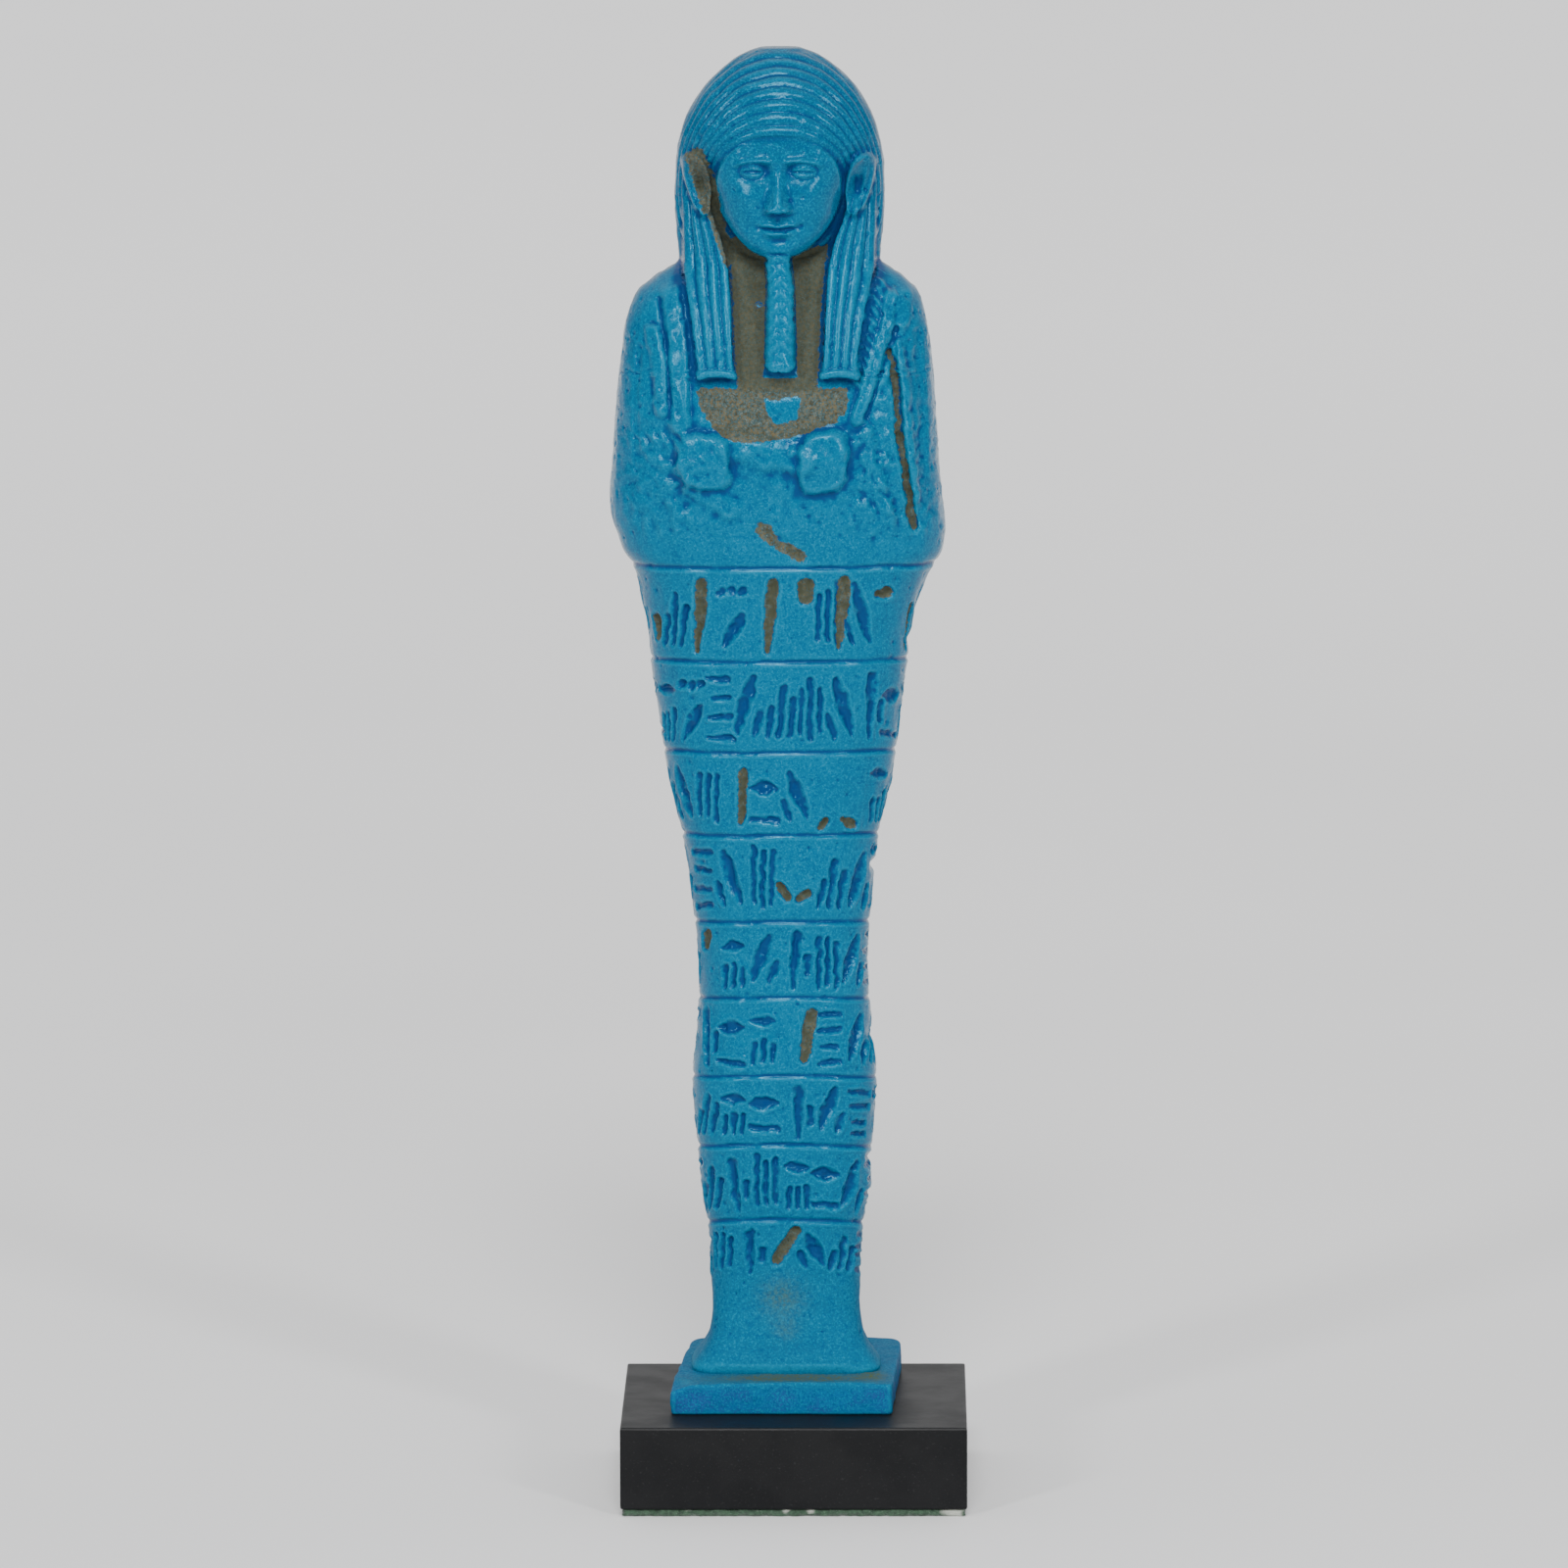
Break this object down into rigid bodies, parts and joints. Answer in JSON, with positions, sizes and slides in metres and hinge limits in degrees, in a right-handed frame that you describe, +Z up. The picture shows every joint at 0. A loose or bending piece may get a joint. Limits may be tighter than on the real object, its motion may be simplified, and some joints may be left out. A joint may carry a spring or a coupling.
{
  "type": "ushabti figurine",
  "caption": "Mummiform funerary figurine in blue glazed faience with striped wig, plaited beard, crossed fists and ruled rows of strokes, on its own slab and a black felt-soled display block.",
  "frame": {"origin": "middle of the felt pad's underside, which is the middle of the display block", "axes": "+Z up along the figurine, from feet to crown; the figurine faces -Y; +X is towards the viewer's right as the figurine is seen from the front"},
  "size_m": [0.0496, 0.042, 0.2027],
  "materials": {
    "faience": "worn semi-gloss turquoise-blue glaze, bare brown paste where it is lost",
    "block": "satin black painted wood",
    "felt": "dark green felt"
  },
  "bodies": {
    "root": {"ushabti": "faience", "display_block": "block", "felt_pad": "felt"}
  },
  "joints": []
}
